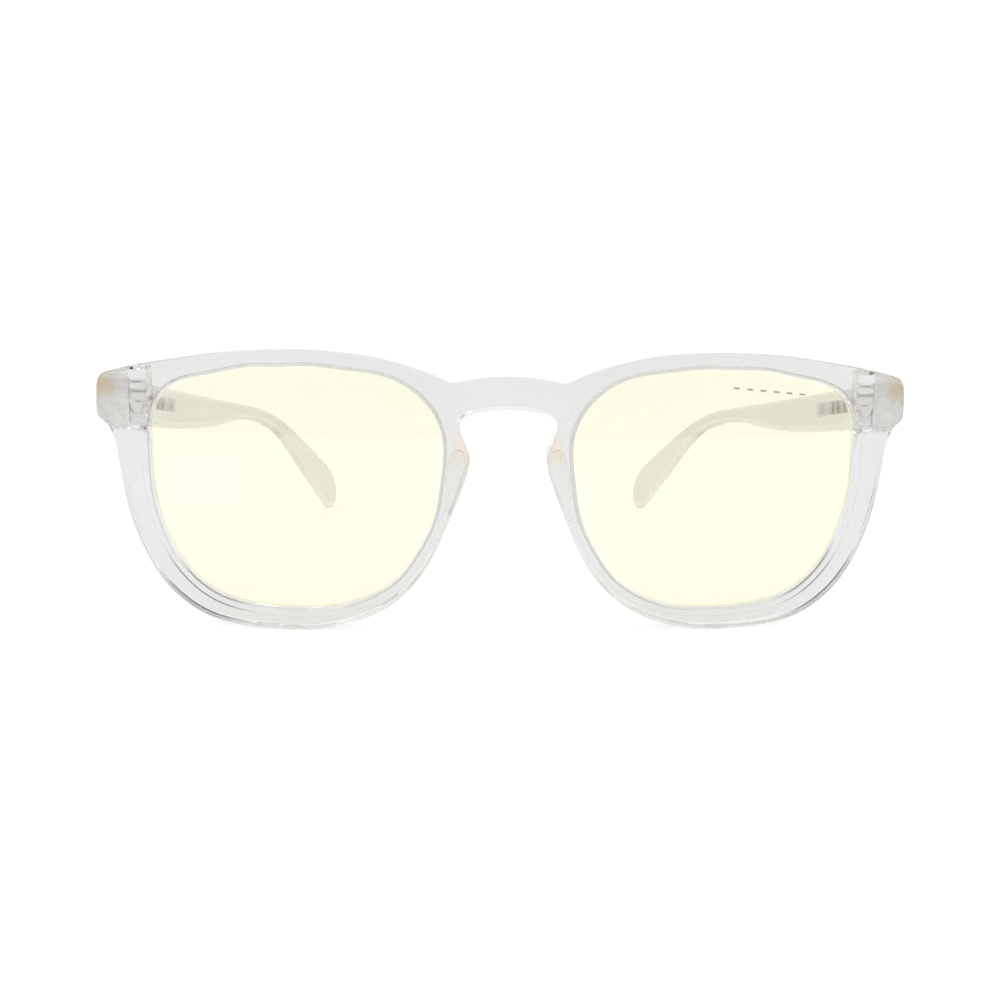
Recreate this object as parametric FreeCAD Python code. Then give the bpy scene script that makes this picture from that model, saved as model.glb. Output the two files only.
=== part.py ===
import FreeCAD, Part
import os, math

# Clear keyhole-bridge glasses with tinted lenses.
# Millimetres.  +X is the wearer's left, the front looks along -Y, the temples
# run back along +Y and +Z is up.  The glasses stand open on the bottoms of the
# rims and the two temple tips, which all touch z = 0.

V = FreeCAD.Vector

# ----------------------------------------------------------------- dimensions
WRAP_R = 300.0            # plan radius of the curved front face
RIM_T = 4.2               # thickness of the front, front face to back face
DEPTH = 137.2             # front face at the bridge to the end of the temples
Y0 = -DEPTH / 2.0         # puts the middle of the depth on y = 0

BRIDGE_TOP = [(0.0, 44.62), (5.0, 44.30), (9.84, 43.40)]
RIM_TOP = [(9.84, 43.40), (12.6, 44.68), (16.0, 45.92), (20.5, 47.20), (25.5, 48.15), (31.0, 48.68),
           (37.5, 48.88), (44.5, 48.68), (51.5, 48.02), (58.5, 46.98), (66.8, 45.42)]
END_TOP = [(66.8, 45.42), (70.5, 44.55)]
END_CORNER = [(70.5, 44.55), (71.75, 43.75), (72.3, 42.3)]
END_SIDE = [(72.3, 42.3), (72.5, 39.8), (72.48, 37.3)]
END_LOW = [(72.48, 37.3), (72.0, 36.45), (70.9, 35.8), (70.05, 35.0), (69.35, 33.9), (68.8, 32.4)]
RIM_LOW = [(68.8, 32.4), (68.35, 30.2), (67.95, 27.6), (67.4, 24.5), (66.8, 21.3), (65.9, 18.1), (64.6, 14.7),
           (62.9, 11.3), (60.6, 7.9), (57.5, 4.85), (53.3, 2.2), (48.0, 0.65), (42.0, 0.05), (36.3, -0.08),
           (30.6, 0.55), (25.2, 2.1), (20.1, 4.85), (16.0, 8.6), (12.95, 13.3), (10.35, 19.2), (8.42, 23.9),
           (7.15, 27.6)]
NOSE = [(7.15, 27.6), (6.72, 29.2), (6.55, 30.55), (6.80, 31.6), (7.35, 33.1), (8.05, 34.8), (8.35, 36.0),
        (8.05, 37.05), (6.9, 37.9), (4.2, 38.58), (0.0, 38.87)]

AP_CX, AP_CZ = 36.6, 24.6  # centre of the lens opening
AP_STEP = 7.5              # degrees between the radii below, from +X towards +Z
AP_R = [25.37, 25.78, 26.53, 27.74, 28.74, 28.47, 26.83, 24.89, 23.58, 22.77, 22.01, 21.43,
        21.36, 21.61, 21.92, 22.49, 23.62, 25.02, 26.18, 26.96, 27.38, 27.23, 26.42, 25.41,
        24.77, 24.47, 24.11, 23.67, 23.42, 23.33, 23.10, 22.68, 22.24, 21.85, 21.44, 21.11,
        21.00, 21.16, 21.52, 22.10, 22.85, 23.56, 24.04, 24.34, 24.54, 24.66, 24.78, 25.03]

LENS_R = 190.0             # front curve of the lens
LENS_T = 2.0               # lens thickness
LENS_SET = 0.75            # lens front face behind the frame's front face, at the middle
LENS_GAP = 0.03            # clearance between lens and rim
FLANGE_T = 0.9             # bevel rib on the lens edge
FLANGE_H = 0.60            # how far the rib stands into the rim
FLANGE_AT = 0.45           # rib's front face behind the lens's front face

FACET_X = 67.3             # where the front face turns back at the end piece
MITRE_Y = 14.5             # plane where the temple butts on the end piece
MITRE_GAP = 0.05
BLOCK_Y = 12.7             # back of the end piece beside the hinge

PIVOT_X, PIVOT_Y, PIVOT_Z = 64.8, 14.5, 39.9
KNUCKLE_R = 1.30
KNUCKLE_H = 1.06           # five knuckles stacked with small gaps
KNUCKLE_PITCH = 1.10
SCREW_R = 0.60
BORE_R = 0.65
HEAD_R, HEAD_H = 1.15, 0.65

TEMPLE_IN = [(66.30, 14.55), (65.02, 30.0), (62.35, 60.0), (57.25, 95.0), (51.0, 118.0), (43.3, 137.6)]
TEMPLE_T = [5.05, 4.35, 3.85, 3.50, 3.25, 3.10]
TEMPLE_TOP = [(14.55, 43.35), (30.0, 40.95), (45.0, 38.85), (60.0, 36.85), (75.0, 34.80), (85.0, 33.35),
              (92.0, 32.25), (98.0, 31.00), (104.0, 29.20), (110.0, 26.70), (116.0, 23.60), (122.0, 19.90),
              (127.0, 16.70), (131.0, 13.75)]
TEMPLE_TIP = [(131.0, 13.75), (134.3, 10.9), (136.5, 7.6), (137.2, 4.3), (136.7, 1.5), (135.4, 0.05)]
TEMPLE_FOOT = [(135.4, 0.05), (134.6, -0.08), (133.7, 0.25)]
TEMPLE_LOW = [(133.7, 0.25), (130.0, 3.55), (125.0, 8.40), (120.0, 13.15), (115.0, 17.75), (110.0, 21.80),
              (105.0, 24.85), (99.0, 27.15), (92.0, 28.85), (85.0, 29.80), (78.0, 30.20), (70.0, 30.05),
              (62.0, 30.15), (53.0, 30.60), (45.0, 31.30), (30.0, 33.00), (14.55, 35.35)]
TONGUE_T, TONGUE_H = 1.0, 2.3
TONGUE_END, POCKET_END = 31.0, 37.0   # y of the tongue's end and of the moulded pocket's end
TONGUE_DROP = 0.133                   # fall of the tongue per mm of length, along the temple

PAD_OUT = [(7.35, 31.0), (7.05, 29.4), (7.65, 27.0), (8.75, 23.8), (9.9, 20.9), (10.9, 19.3), (12.0, 18.9),
           (12.45, 20.2), (11.6, 23.2), (10.9, 26.4), (10.4, 29.3), (9.6, 31.3), (8.4, 31.9)]
PAD_Y = 8.1                # back of the nose pads


# -------------------------------------------------------------------- helpers
def xz(p):
    return V(p[0], 0, p[1])


def curve(points, t0=None, t1=None, periodic=False):
    c = Part.BSplineCurve()
    if periodic:
        c.interpolate(Points=points, PeriodicFlag=True)
    elif t0 is not None and t1 is not None:
        c.interpolate(Points=points, InitialTangent=t0, FinalTangent=t1)
    else:
        c.interpolate(Points=points)
    return c.toShape()


def direction(p, q):
    d = V(q[0] - p[0], 0, q[1] - p[1])
    d.normalize()
    return d


def front_wire():
    X = V(1, 0, 0)
    top_dir = direction(RIM_TOP[-1], END_TOP[-1])
    low_dir = direction((69.35, 33.9), (68.55, 31.2))
    nose_dir = direction((7.6, 26.3), (7.15, 27.6))
    half = [
        curve([xz(p) for p in BRIDGE_TOP], X, direction((5.0, 44.30), (9.84, 43.40))),
        curve([xz(p) for p in RIM_TOP], direction((9.84, 43.40), (12.2, 44.55)), top_dir),
        Part.LineSegment(xz(END_TOP[0]), xz(END_TOP[1])).toShape(),
        curve([xz(p) for p in END_CORNER], top_dir, direction(END_SIDE[0], END_SIDE[1])),
        curve([xz(p) for p in END_SIDE], direction(END_SIDE[0], END_SIDE[1]), V(-0.08, 0, -1)),
        curve([xz(p) for p in END_LOW], V(-0.08, 0, -1), low_dir),
        curve([xz(p) for p in RIM_LOW], low_dir, nose_dir),
        curve([xz(p) for p in NOSE], nose_dir, V(-1, 0, 0)),
    ]
    other = [e.mirror(V(0, 0, 0), V(1, 0, 0)) for e in half]
    return Part.Wire(Part.__sortEdges__(half + other))


def ap_points(offset=0.0, n=96):
    # lens opening moved outward by offset, sampled evenly in angle
    base = curve([V(AP_CX + r * math.cos(math.radians(i * AP_STEP)), 0,
                    AP_CZ + r * math.sin(math.radians(i * AP_STEP))) for i, r in enumerate(AP_R)],
                 periodic=True)
    c = base.Curve
    a, b = c.FirstParameter, c.LastParameter
    out = []
    for i in range(n):
        t = a + (b - a) * i / n
        p = c.value(t)
        d = V(c.tangent(t)[0])
        nrm = V(d.z, 0, -d.x)
        if nrm.x * (p.x - AP_CX) + nrm.z * (p.z - AP_CZ) < 0:
            nrm = nrm * -1
        nrm.normalize()
        out.append(p + nrm * offset)
    return out


def prism(points, y0, y1, periodic=True):
    e = curve([V(p.x, y0, p.z) for p in points], periodic=True)
    return Part.Face(Part.Wire([e])).extrude(V(0, y1 - y0, 0))


def plan_face(points):
    w = Part.makePolygon([V(p[0], p[1], 0) for p in points + points[:1]])
    return Part.Face(w)


def y_at(x, r):
    return WRAP_R - math.sqrt(r * r - x * x)


def box(x0, y0, z0, x1, y1, z1):
    return Part.makeBox(x1 - x0, y1 - y0, z1 - z0, V(x0, y0, z0))


def mirror(s):
    m = s.mirror(V(0, 0, 0), V(1, 0, 0))
    return m


def largest(s):
    return max(s.Solids, key=lambda q: q.Volume)


def rounded(shape, radii, keep):
    # rounds every edge that keep(edge) accepts, with the largest radius that works
    for r in radii:
        edges = [e for e in shape.Edges if keep(e)]
        try:
            f = shape.makeFillet(r, edges)
            if f.isValid() and len(f.Solids) == 1 and f.Volume > 0.8 * shape.Volume:
                print("  fillet", r, "on", len(edges), "edges")
                return f
        except Exception as err:
            pass
    print("  no fillet")
    return shape


# ------------------------------------------------------------------ the lens
def lens_centre(set_back):
    a = math.asin(AP_CX / WRAP_R)
    p = V(AP_CX, y_at(AP_CX, WRAP_R), AP_CZ)
    n = V(-math.sin(a), math.cos(a), 0)
    return p + n * (set_back + LENS_R)


def shell(r_out, r_in, c):
    # slice of a spherical shell, only the part in front of the sphere's centre
    s = Part.makeSphere(r_out, c).cut(Part.makeSphere(r_in, c))
    return s


def lens_body(edge, rib, extra=0.0):
    c = lens_centre(LENS_SET)
    body = shell(LENS_R + extra, LENS_R - LENS_T - extra, c).common(prism(ap_points(edge), -3, 16))
    r1 = LENS_R - FLANGE_AT + extra
    ring = shell(r1, r1 - FLANGE_T - 2 * extra, c).common(prism(ap_points(rib), -3, 16))
    return body, ring


# -------------------------------------------------------------- hinge pieces
def knuckles(indices):
    z0 = PIVOT_Z - 2.5 * KNUCKLE_PITCH
    out = []
    for i in indices:
        z = z0 + i * KNUCKLE_PITCH + (KNUCKLE_PITCH - KNUCKLE_H) / 2
        out.append((z, Part.makeCylinder(KNUCKLE_R, KNUCKLE_H, V(PIVOT_X, PIVOT_Y, z))))
    return out


def front_leaf():
    s = None
    for z, k in knuckles((0, 2, 4)):
        web = box(PIVOT_X - 0.8, 12.9, z, PIVOT_X + 0.8, PIVOT_Y, z + KNUCKLE_H)
        k = k.fuse(web)
        s = k if s is None else s.fuse(k)
    half = 2.5 * KNUCKLE_PITCH
    strip = box(PIVOT_X - 1.35, 12.25, PIVOT_Z - half + 0.02, PIVOT_X + 1.35, 13.08, PIVOT_Z + half - 0.02)
    stem = box(62.9, 9.9, 39.55, 65.3, 12.4, 42.0)
    s = s.fuse([strip, stem])
    for y in (10.1, 11.2):                      # barbs that lock the anchor in the plastic
        rib = Part.Face(Part.makePolygon([V(62.5, y, 39.3), V(65.7, y, 39.3), V(65.7, y, 42.25),
                                          V(62.5, y, 42.25), V(62.5, y, 39.3)])).extrude(V(0, 0.5, 0))
        s = s.fuse(rib)
    return s


def tongue_frame():
    d = V(-0.0816, 0.988, -TONGUE_DROP * 0.988)
    d.normalize()
    up = V(0, TONGUE_DROP, 1)
    up = up - d * up.dot(d)
    up.normalize()
    out = d.cross(up)
    out.normalize()
    return V(67.35, 15.4, 39.42), d, up, out


def slab(l0, l1, h, t):
    # a bar along the tongue's direction, from l0 to l1, h tall and t thick
    o, d, up, out = tongue_frame()
    pts = []
    for a, b in ((-h / 2, -t / 2), (h / 2, -t / 2), (h / 2, t / 2), (-h / 2, t / 2), (-h / 2, -t / 2)):
        pts.append(o + d * l0 + up * a + out * b)
    return Part.Face(Part.makePolygon(pts)).extrude(d * (l1 - l0))


def temple_leaf():
    s = None
    arm_plan = [(PIVOT_X - 0.1, PIVOT_Y + 1.05), (PIVOT_X + 0.45, PIVOT_Y + 0.25), (66.5, 14.80), (67.9, 15.0),
                (67.9, 17.2), (66.85, 17.2), (66.0, 16.35)]
    for z, k in knuckles((1, 3)):
        arm = plan_face(arm_plan).extrude(V(0, 0, KNUCKLE_H))
        arm.translate(V(0, 0, z))
        k = k.fuse(arm)
        s = k if s is None else s.fuse(k)
    half = 2.5 * KNUCKLE_PITCH
    hub = box(66.85, 15.0, PIVOT_Z - half + 0.1, 67.9, 17.2, PIVOT_Z + half - 0.1)
    length = (TONGUE_END - 15.4) / 0.988
    s = s.fuse([hub, slab(0.3, length, TONGUE_H, TONGUE_T)])
    for l in (6.3, 9.3, 12.3, 14.6):            # barbs along the tongue
        s = s.fuse(slab(l, l + 0.75, TONGUE_H + 0.5, TONGUE_T + 0.4))
    return s


def bore(s):
    c = Part.makeCylinder(BORE_R, 12, V(PIVOT_X, PIVOT_Y, PIVOT_Z - 6))
    return s.cut(c)


def screw():
    half = 2.5 * KNUCKLE_PITCH
    top = PIVOT_Z + half + 0.01
    shank = Part.makeCylinder(SCREW_R, top - (PIVOT_Z - half - 0.15), V(PIVOT_X, PIVOT_Y, PIVOT_Z - half - 0.15))
    head = Part.makeCylinder(HEAD_R, HEAD_H, V(PIVOT_X, PIVOT_Y, top))
    dome = Part.makeSphere(2.1, V(PIVOT_X, PIVOT_Y, top + HEAD_H - 2.1))
    head = head.common(dome)
    slot = box(PIVOT_X - 1.5, PIVOT_Y - 0.14, top + HEAD_H - 0.32, PIVOT_X + 1.5, PIVOT_Y + 0.14, top + HEAD_H + 1)
    return shank.fuse(head).cut(slot)


# -------------------------------------------------------------------- front
def make_front(leaf_envelope):
    wire = front_wire()
    face = Part.Face(wire)
    outline = face.extrude(V(0, 30, 0))
    outline.translate(V(0, -5, 0))

    # curved rim, in plan: front arc, a facet at each end, back arc
    ys = y_at(FACET_X, WRAP_R)
    xe = 73.2
    fy = ys + (xe - FACET_X) * 0.62
    fa = Part.Arc(V(-FACET_X, ys, 0), V(0, 0, 0), V(FACET_X, ys, 0)).toShape()
    yb = y_at(xe, WRAP_R - RIM_T)
    ba = Part.Arc(V(xe, yb, 0), V(0, RIM_T, 0), V(-xe, yb, 0)).toShape()
    edges = [fa, Part.LineSegment(V(FACET_X, ys, 0), V(xe, fy, 0)).toShape(),
             Part.LineSegment(V(xe, fy, 0), V(xe, yb, 0)).toShape(), ba,
             Part.LineSegment(V(-xe, yb, 0), V(-xe, fy, 0)).toShape(),
             Part.LineSegment(V(-xe, fy, 0), V(-FACET_X, ys, 0)).toShape()]
    plan = Part.Face(Part.Wire(Part.__sortEdges__(edges)))
    plan.translate(V(0, 0, -5))
    rim = outline.common(plan.extrude(V(0, 0, 60)))

    # end pieces run back to the mitre plane
    solid = rim
    for side in (1, -1):
        pts = [(62.2, 9.6), (70.5, 11.0), (72.55, 11.0), (71.45, MITRE_Y), (66.35, MITRE_Y), (66.35, BLOCK_Y),
               (63.2, BLOCK_Y), (62.2, 11.6)]
        pts = [(side * x, y) for x, y in pts]
        blk = plan_face(pts).extrude(V(0, 0, 20))
        blk.translate(V(0, 0, 33))
        prof = Part.Face(Part.makePolygon([V(60 * side, 7, 35.35), V(60 * side, 15, 35.35), V(60 * side, 15, 43.2),
                                           V(60 * side, 12.6, 44.9), V(60 * side, 7, 47.5), V(60 * side, 7, 35.35)]))
        blk = blk.common(prof.extrude(V(14 * side, 0, 0))).common(outline)
        solid = solid.fuse(blk)
    solid = solid.removeSplitter()
    return solid


def main():
    os.makedirs("parts", exist_ok=True)
    parts = {}

    leaf = front_leaf()
    front = make_front(None)
    print("front raw", front.isValid(), len(front.Solids), round(front.Volume, 1))
    # lens openings, then rounded edges, then grooves
    for side in (1, -1):
        cut = prism(ap_points(0.0), -3, 20)
        if side < 0:
            cut = mirror(cut)
        front = front.cut(cut)
    front = largest(front)
    print("front opened", front.isValid(), round(front.Volume, 1))

    def show_edges(e):
        # the lens openings on both faces, and the outline on the front face
        m = e.valueAt((e.FirstParameter + e.LastParameter) / 2)
        r = math.hypot(m.x, m.y - WRAP_R)
        on_front = abs(r - WRAP_R) < 0.02
        on_back = abs(r - (WRAP_R - RIM_T)) < 0.02
        return (e.Length > 100 and (on_front or on_back)) or (on_front and e.Length > 1.5)

    front = rounded(front, (0.5,), show_edges)

    body, ring = lens_body(-LENS_GAP, FLANGE_H - LENS_GAP)
    lens = body.fuse(ring).removeSplitter()
    lens = largest(lens)
    groove = lens_body(0.0, FLANGE_H, 0.0)[1]
    c = lens_centre(LENS_SET)
    r1 = LENS_R - FLANGE_AT + LENS_GAP
    groove = shell(r1, r1 - FLANGE_T - 2 * LENS_GAP, c).common(prism(ap_points(FLANGE_H), -3, 16))
    for side in (1, -1):
        front = front.cut(groove if side > 0 else mirror(groove))
        front = front.cut(leaf if side > 0 else mirror(leaf))
    front = front.common(box(-90, -10, 0, 90, 40, 60))
    front = largest(front)
    parts["frame_front"] = front

    parts["left_lens"] = lens
    parts["right_lens"] = mirror(lens)

    # nose pads bonded to the back of the rims
    pw = curve([V(x, 3.0, z) for x, z in PAD_OUT], periodic=True)
    pad = Part.Face(Part.Wire([pw])).extrude(V(0, PAD_Y - 3.0, 0))
    pad = rounded(pad, (0.5, 0.3), lambda e: e.BoundBox.YMin > PAD_Y - 0.1)
    pad = pad.common(Part.makeCylinder(WRAP_R - RIM_T, 60, V(0, WRAP_R, -5)))
    pad = largest(pad)
    parts["left_nose_pad"] = pad
    parts["right_nose_pad"] = mirror(pad)

    # hinges
    fl = bore(leaf)
    tl_full = temple_leaf()
    tl = bore(tl_full)
    sc = screw()
    parts["left_hinge_front_leaf"] = fl
    parts["right_hinge_front_leaf"] = mirror(fl)
    parts["left_hinge_temple_leaf"] = tl
    parts["right_hinge_temple_leaf"] = mirror(tl)
    parts["left_hinge_screw"] = sc
    parts["right_hinge_screw"] = mirror(sc)

    # temple: side profile and plan profile, with rounded edges
    e = [Part.LineSegment(V(0, *TEMPLE_LOW[-1]), V(0, *TEMPLE_TOP[0])).toShape(),
         curve([V(0, *p) for p in TEMPLE_TOP], V(0, 1, -0.17), V(0, 1, -0.76)),
         curve([V(0, *p) for p in TEMPLE_TIP], V(0, 1, -0.76), V(0, -1, -0.75)),
         curve([V(0, *p) for p in TEMPLE_FOOT], V(0, -1, -0.75), V(0, -1, 0.75)),
         curve([V(0, *p) for p in TEMPLE_LOW], V(0, -1, 0.75), V(0, -1, 0.17))]
    side = Part.Face(Part.Wire(Part.__sortEdges__(e))).extrude(V(60, 0, 0))
    side.translate(V(25, 0, 0))
    inner = [V(x, y, 0) for x, y in TEMPLE_IN]
    ic = Part.BSplineCurve()
    ic.interpolate(Points=inner)
    outer = []
    for p, t in zip(inner, TEMPLE_T):
        u = ic.parameter(p)
        d = V(ic.tangent(u)[0])
        nrm = V(d.y, -d.x, 0)
        nrm.normalize()
        outer.append(p + nrm * t)
    # both curves start on the mitre plane
    outer[0] = V(inner[0].x + TEMPLE_T[0], inner[0].y, 0)
    oc = Part.BSplineCurve()
    oc.interpolate(Points=outer)
    pe = [ic.toShape(), oc.toShape(), Part.LineSegment(inner[0], outer[0]).toShape(),
          Part.LineSegment(inner[-1], outer[-1]).toShape()]
    plan = Part.Face(Part.Wire(Part.__sortEdges__(pe))).extrude(V(0, 0, 60))
    plan.translate(V(0, 0, -5))
    temple = largest(side.common(plan))
    print("temple", temple.isValid(), round(temple.Volume, 1), "edges", len(temple.Edges))
    temple = rounded(temple, (1.2, 1.0, 0.8, 0.6, 0.4),
                     lambda e: not (e.BoundBox.YMax < MITRE_Y + 0.2) and e.Length > 3.0)
    pocket = slab(0.3, (POCKET_END - 15.4) / 0.988, TONGUE_H + 0.5, TONGUE_T + 0.4)
    temple = temple.cut(tl_full.fuse(pocket))
    temple = temple.common(box(-90, -10, 0, 90, 150, 60))
    temple = largest(temple)
    parts["left_temple"] = temple
    parts["right_temple"] = mirror(temple)

    for name, s in parts.items():
        s = s.copy()
        s.translate(V(0, Y0, 0))
        if len(s.Solids) == 1:
            s = s.Solids[0]
        b = s.BoundBox
        print("%-26s valid %s solids %d vol %8.2f  x %.2f %.2f  y %.2f %.2f  z %.3f %.2f" % (
            name, s.isValid(), len(s.Solids), s.Volume, b.XMin, b.XMax, b.YMin, b.YMax, b.ZMin, b.ZMax))
        s.exportStep("parts/%s.step" % name)


main()
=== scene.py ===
import bpy, bmesh, math
import numpy as np
from mathutils import Vector, Matrix
from mathutils.geometry import delaunay_2d_cdt


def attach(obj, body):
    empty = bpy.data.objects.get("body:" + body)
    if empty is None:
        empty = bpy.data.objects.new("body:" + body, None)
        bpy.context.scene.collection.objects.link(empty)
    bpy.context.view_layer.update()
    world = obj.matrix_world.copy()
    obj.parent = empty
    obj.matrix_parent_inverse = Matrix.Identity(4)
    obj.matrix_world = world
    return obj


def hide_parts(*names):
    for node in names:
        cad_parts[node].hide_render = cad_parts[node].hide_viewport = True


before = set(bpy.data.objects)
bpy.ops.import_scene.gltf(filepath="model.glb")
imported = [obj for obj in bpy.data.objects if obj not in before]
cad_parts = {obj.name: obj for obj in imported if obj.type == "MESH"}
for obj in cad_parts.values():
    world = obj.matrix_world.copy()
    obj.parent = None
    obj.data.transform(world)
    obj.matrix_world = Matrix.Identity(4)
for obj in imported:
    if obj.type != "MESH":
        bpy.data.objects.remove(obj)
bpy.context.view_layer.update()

Y0 = -68.6          # the design's own y, in mm, starts at the front face of the bridge

# ------------------------------------------------------------------ camera
CAM_AZ, CAM_EL, CAM_TX, CAM_TZ, CAM_F, CAM_D, CAM_ROLL = -2.4, 9.0, -1.4031, 23.5368, 1.10752, 190.0, 0.52
scene = bpy.context.scene


def make_camera():
    a, e, r = math.radians(CAM_AZ), math.radians(CAM_EL), math.radians(CAM_ROLL)
    back = Vector((math.sin(a) * math.cos(e), -math.cos(a) * math.cos(e), math.sin(e)))
    pos = Vector((CAM_TX, Y0, CAM_TZ)) + back * CAM_D
    right = (-back).cross(Vector((0, 0, 1))).normalized()
    up = right.cross(-back)
    right2 = right * math.cos(r) + up * math.sin(r)
    up2 = up * math.cos(r) - right * math.sin(r)
    m = Matrix((right2, up2, back)).transposed().to_4x4()
    m.translation = pos * 0.001
    cam = bpy.data.cameras.new("camera")
    cam.sensor_width = 36.0
    cam.lens = CAM_F * 36.0
    cam.clip_start = 0.005
    cam.clip_end = 60.0
    ob = bpy.data.objects.new("camera", cam)
    ob.matrix_world = m
    scene.collection.objects.link(ob)
    scene.camera = ob


make_camera()

# --------------------------------------------------- the design's own numbers
WRAP_R, RIM_T = 300.0, 4.2
BRIDGE_TOP = [(0.0, 44.62), (5.0, 44.30), (9.84, 43.40)]
RIM_TOP = [(9.84, 43.40), (12.6, 44.68), (16.0, 45.92), (20.5, 47.20), (25.5, 48.15), (31.0, 48.68),
           (37.5, 48.88), (44.5, 48.68), (51.5, 48.02), (58.5, 46.98), (66.8, 45.42)]
END_TOP = [(66.8, 45.42), (70.5, 44.55)]
END_CORNER = [(70.5, 44.55), (71.75, 43.75), (72.3, 42.3)]
END_SIDE = [(72.3, 42.3), (72.5, 39.8), (72.48, 37.3)]
END_LOW = [(72.48, 37.3), (72.0, 36.45), (70.9, 35.8), (70.05, 35.0), (69.35, 33.9), (68.8, 32.4)]
RIM_LOW = [(68.8, 32.4), (68.35, 30.2), (67.95, 27.6), (67.4, 24.5), (66.8, 21.3), (65.9, 18.1), (64.6, 14.7),
           (62.9, 11.3), (60.6, 7.9), (57.5, 4.85), (53.3, 2.2), (48.0, 0.65), (42.0, 0.05), (36.3, -0.08),
           (30.6, 0.55), (25.2, 2.1), (20.1, 4.85), (16.0, 8.6), (12.95, 13.3), (10.35, 19.2), (8.42, 23.9),
           (7.15, 27.6)]
NOSE = [(7.15, 27.6), (6.72, 29.2), (6.55, 30.55), (6.80, 31.6), (7.35, 33.1), (8.05, 34.8), (8.35, 36.0),
        (8.05, 37.05), (6.9, 37.9), (4.2, 38.58), (0.0, 38.87)]
AP_CX, AP_CZ, AP_STEP = 36.6, 24.6, 7.5
AP_R = [25.37, 25.78, 26.53, 27.74, 28.74, 28.47, 26.83, 24.89, 23.58, 22.77, 22.01, 21.43,
        21.36, 21.61, 21.92, 22.49, 23.62, 25.02, 26.18, 26.96, 27.38, 27.23, 26.42, 25.41,
        24.77, 24.47, 24.11, 23.67, 23.42, 23.33, 23.10, 22.68, 22.24, 21.85, 21.44, 21.11,
        21.00, 21.16, 21.52, 22.10, 22.85, 23.56, 24.04, 24.34, 24.54, 24.66, 24.78, 25.03]
LENS_R, LENS_T, LENS_SET, LENS_GAP = 190.0, 2.0, 0.75, 0.03
FLANGE_T, FLANGE_H, FLANGE_AT = 0.9, 0.60, 0.45
FACET_X, MITRE_Y, BLOCK_Y = 67.3, 14.5, 12.7
TEMPLE_IN = [(66.30, 14.55), (65.02, 30.0), (62.35, 60.0), (57.25, 95.0), (51.0, 118.0), (43.3, 137.6)]
TEMPLE_T = [5.05, 4.35, 3.75, 3.00, 2.60, 2.45]
TEMPLE_TOP = [(14.55, 43.35), (30.0, 40.95), (45.0, 38.85), (60.0, 36.85), (75.0, 34.80), (85.0, 33.35),
              (92.0, 32.25), (98.0, 31.00), (104.0, 29.20), (110.0, 26.70), (116.0, 23.60), (122.0, 19.90),
              (127.0, 16.70), (131.0, 13.75)]
TEMPLE_TIP = [(131.0, 13.75), (134.3, 10.9), (136.5, 7.6), (137.2, 4.3), (136.7, 1.5), (135.4, 0.05)]
TEMPLE_FOOT = [(135.4, 0.05), (134.6, -0.08), (133.7, 0.25)]
TEMPLE_LOW = [(133.7, 0.25), (130.0, 3.55), (125.0, 8.40), (120.0, 13.15), (115.0, 17.75), (110.0, 21.80),
              (105.0, 24.85), (99.0, 27.15), (92.0, 28.85), (85.0, 29.80), (78.0, 30.20), (70.0, 30.05),
              (62.0, 30.15), (53.0, 30.60), (45.0, 31.30), (30.0, 33.00), (14.55, 35.35)]
POCKET_END, TONGUE_DROP = 37.0, 0.133
PAD_OUT = [(7.35, 31.0), (7.05, 29.4), (7.65, 27.0), (8.75, 23.8), (9.9, 20.9), (10.9, 19.3), (12.0, 18.9),
           (12.45, 20.2), (11.6, 23.2), (10.9, 26.4), (10.4, 29.3), (9.6, 31.3), (8.4, 31.9)]
PAD_Y = 8.1


# ------------------------------------------------------------------ curves
def spline(pts, step=0.35, t0=None, t1=None, closed=False):
    """Cubic spline through pts, sampled about every step mm."""
    P = np.array(pts, float)
    if closed:
        P = np.vstack([P, P[:1]])
    h = np.hypot(*np.diff(P, axis=0).T)
    s = np.r_[0, np.cumsum(h)]
    n = len(P)
    A = np.zeros((n, n))
    B = np.zeros((n, 2))
    if closed:
        A = np.zeros((n - 1, n - 1)); B = np.zeros((n - 1, 2))
        for i in range(n - 1):
            hm, hp = h[i - 1], h[i]
            im, ip = (i - 1) % (n - 1), (i + 1) % (n - 1)
            A[i, im] += 1 / hm; A[i, ip] += 1 / hp; A[i, i] += 2 * (1 / hm + 1 / hp)
            B[i] = 3 * ((P[i] - P[im]) / hm ** 2 + (P[i + 1] - P[i]) / hp ** 2)
        M = np.linalg.solve(A, B); M = np.vstack([M, M[:1]])
    else:
        for i in range(1, n - 1):
            A[i, i - 1] = 1 / h[i - 1]; A[i, i + 1] = 1 / h[i]; A[i, i] = 2 * (1 / h[i - 1] + 1 / h[i])
            B[i] = 3 * ((P[i] - P[i - 1]) / h[i - 1] ** 2 + (P[i + 1] - P[i]) / h[i] ** 2)
        if t0 is None:
            A[0, 0] = 2; A[0, 1] = 1; B[0] = 3 * (P[1] - P[0]) / h[0]
        else:
            t = np.array(t0, float); A[0, 0] = 1; B[0] = t / np.hypot(*t)
        if t1 is None:
            A[-1, -1] = 2; A[-1, -2] = 1; B[-1] = 3 * (P[-1] - P[-2]) / h[-1]
        else:
            t = np.array(t1, float); A[-1, -1] = 1; B[-1] = t / np.hypot(*t)
        M = np.linalg.solve(A, B)
    out = []
    for i in range(n - 1):
        k = max(1, int(round(h[i] / (step * 0.25))))
        u = np.arange(k)[:, None] / k
        h00 = 2 * u ** 3 - 3 * u ** 2 + 1; h10 = u ** 3 - 2 * u ** 2 + u
        h01 = -2 * u ** 3 + 3 * u ** 2; h11 = u ** 3 - u ** 2
        out.append(h00 * P[i] + h10 * h[i] * M[i] + h01 * P[i + 1] + h11 * h[i] * M[i + 1])
    if not closed:
        out.append(P[-1:])
    return np.vstack(out)


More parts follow.
